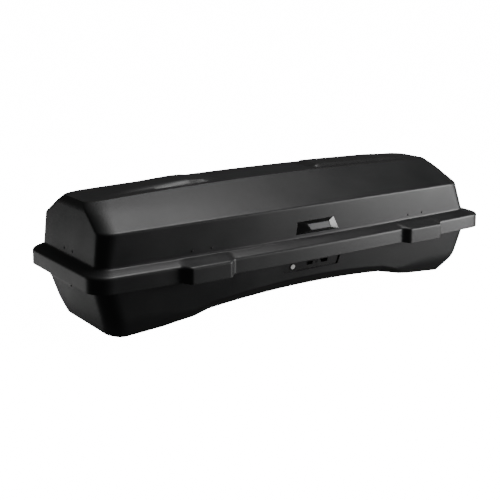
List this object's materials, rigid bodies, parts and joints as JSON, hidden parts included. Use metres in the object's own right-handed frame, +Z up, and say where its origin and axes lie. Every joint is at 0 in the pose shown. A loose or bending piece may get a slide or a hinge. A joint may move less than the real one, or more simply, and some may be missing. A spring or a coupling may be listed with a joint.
{
  "type": "roof cargo box",
  "caption": "Long black hard-shell roof cargo box, side-opening lid with gas stays, key lock and slide catch bar, arched base with crossbar clamps.",
  "frame": {"origin": "middle of the bounding box in plan, level with the lowest point of the underside", "axes": "+X towards the car's front along the box, +Y towards the hinge side, +Z up"},
  "size_m": [1.8, 0.649, 0.491],
  "materials": {
    "shell": "satin black moulded plastic, fine grain",
    "panel": "satin black moulded plastic, smooth",
    "badge": "gloss black plastic",
    "emblem": "satin metal",
    "barrel": "white plastic",
    "steel": "zinc-plated pressed steel",
    "black_steel": "black powder coat",
    "alloy": "mill-finish extruded bar",
    "rod": "ground and chromed",
    "rubber": "black rubber",
    "knob": "black nylon",
    "webbing": "black polyester webbing"
  },
  "bodies": {
    "base": {"base_shell": "shell", "base_rivets": "steel", "hinge_pins": "steel", "bar_guides": "panel", "lock_panel": "panel", "lock_case": "panel", "hinge_base_rear": "steel", "hinge_base_front": "steel", "stay_foot_rear": "steel", "stay_foot_front": "steel", "slot_seals": "rubber", "load_strap_rear": "webbing", "load_strap_front": "webbing", "strap_anchors": "black_steel", "strap_buckles": "black_steel", "clamp_plate_rear_right": "knob", "clamp_plate_rear_left": "knob", "clamp_plate_front_right": "knob", "clamp_plate_front_left": "knob"},
    "lid": {"lid_shell": "shell", "badge_plate": "badge", "badge_emblem": "emblem", "lid_rivets": "black_steel", "rear_backing_plate": "steel", "rear_lip": "panel", "hinge_leaf_rear": "steel", "hinge_leaf_front": "steel", "striker_rear": "steel", "striker_front": "steel", "lid_rib_rear": "alloy", "lid_rib_front": "alloy", "stay_head_rear": "steel", "stay_head_front": "steel"},
    "lock": {"lock_barrel": "barrel", "lock_cam": "steel"},
    "catch_bar": {"locking_bar": "alloy", "slide_handle": "panel", "handle_link": "steel", "lock_tab": "steel", "catch_claw_rear": "steel", "catch_claw_front": "steel"},
    "stay_rear_body": {"stay_body_rear": "black_steel"},
    "stay_rear_rod": {"stay_rod_rear": "rod"},
    "stay_front_body": {"stay_body_front": "black_steel"},
    "stay_front_rod": {"stay_rod_front": "rod"},
    "knob_rear_right": {"clamp_knob_rear_right": "knob"},
    "claw_rear_right": {"clamp_claw_rear_right": "black_steel"},
    "knob_rear_left": {"clamp_knob_rear_left": "knob"},
    "claw_rear_left": {"clamp_claw_rear_left": "black_steel"},
    "knob_front_right": {"clamp_knob_front_right": "knob"},
    "claw_front_right": {"clamp_claw_front_right": "black_steel"},
    "knob_front_left": {"clamp_knob_front_left": "knob"},
    "claw_front_left": {"clamp_claw_front_left": "black_steel"}
  },
  "joints": [
    {"name": "lid_hinge", "type": "hinge", "parent": "base", "child": "lid", "pos_m": [0, 0.303, 0.194], "axis": [-1, 0, 0], "range_deg": [0, 60]},
    {"name": "lock_turn", "type": "hinge", "parent": "base", "child": "lock", "pos_m": [-0.081, -0.25843, 0.15704], "axis": [0, 0.9908, 0.1351], "range_deg": [-90, 0]},
    {"name": "catch_slide", "type": "slide", "parent": "base", "child": "catch_bar", "axis": [1, 0, 0], "range_m": [0, 0.022]},
    {"name": "stay_rear_swing", "type": "hinge", "parent": "base", "child": "stay_rear_body", "pos_m": [-0.33, 0.241, 0.205], "axis": [-1, 0, 0], "range_deg": [0, 61.14]},
    {"name": "stay_rear_stroke", "type": "slide", "parent": "stay_rear_body", "child": "stay_rear_rod", "axis": [0, -0.3898, 0.9209], "range_m": [0, 0.0634]},
    {"name": "stay_front_swing", "type": "hinge", "parent": "base", "child": "stay_front_body", "pos_m": [0.33, 0.241, 0.205], "axis": [-1, 0, 0], "range_deg": [0, 61.14]},
    {"name": "stay_front_stroke", "type": "slide", "parent": "stay_front_body", "child": "stay_front_rod", "axis": [0, -0.3898, 0.9209], "range_m": [0, 0.0634]},
    {"name": "claw_rear_right_lift", "type": "slide", "parent": "base", "child": "claw_rear_right", "axis": [-0.0661, 0, 0.9978], "range_m": [-0.038, 0]},
    {"name": "knob_rear_right_turn", "type": "hinge", "parent": "base", "child": "knob_rear_right", "pos_m": [-0.25527, -0.14, 0.06442], "axis": [-0.0661, 0, 0.9978], "range_deg": [-1140.2, 0]},
    {"name": "claw_rear_left_lift", "type": "slide", "parent": "base", "child": "claw_rear_left", "axis": [-0.0661, 0, 0.9978], "range_m": [-0.038, 0]},
    {"name": "knob_rear_left_turn", "type": "hinge", "parent": "base", "child": "knob_rear_left", "pos_m": [-0.25527, 0.14, 0.06442], "axis": [-0.0661, 0, 0.9978], "range_deg": [-1140.2, 0]},
    {"name": "claw_front_right_lift", "type": "slide", "parent": "base", "child": "claw_front_right", "axis": [0.0584, 0, 0.9983], "range_m": [-0.038, 0]},
    {"name": "knob_front_right_turn", "type": "hinge", "parent": "base", "child": "knob_front_right", "pos_m": [0.28523, -0.14, 0.06652], "axis": [0.0584, 0, 0.9983], "range_deg": [-1140.2, 0]},
    {"name": "claw_front_left_lift", "type": "slide", "parent": "base", "child": "claw_front_left", "axis": [0.0584, 0, 0.9983], "range_m": [-0.038, 0]},
    {"name": "knob_front_left_turn", "type": "hinge", "parent": "base", "child": "knob_front_left", "pos_m": [0.28523, 0.14, 0.06652], "axis": [0.0584, 0, 0.9983], "range_deg": [-1140.2, 0]}
  ],
  "couplings": [
    {"joint": "stay_rear_swing", "follows": "lid_hinge", "ratio": 1.0106},
    {"joint": "stay_rear_stroke", "follows": "lid_hinge", "m_per_rad": 0.060065},
    {"joint": "stay_front_swing", "follows": "lid_hinge", "ratio": 1.0106},
    {"joint": "stay_front_stroke", "follows": "lid_hinge", "m_per_rad": 0.060065},
    {"joint": "knob_rear_right_turn", "follows": "claw_rear_right_lift", "rad_per_m": 523.6},
    {"joint": "knob_rear_left_turn", "follows": "claw_rear_left_lift", "rad_per_m": 523.6},
    {"joint": "knob_front_right_turn", "follows": "claw_front_right_lift", "rad_per_m": 523.6},
    {"joint": "knob_front_left_turn", "follows": "claw_front_left_lift", "rad_per_m": 523.6}
  ]
}
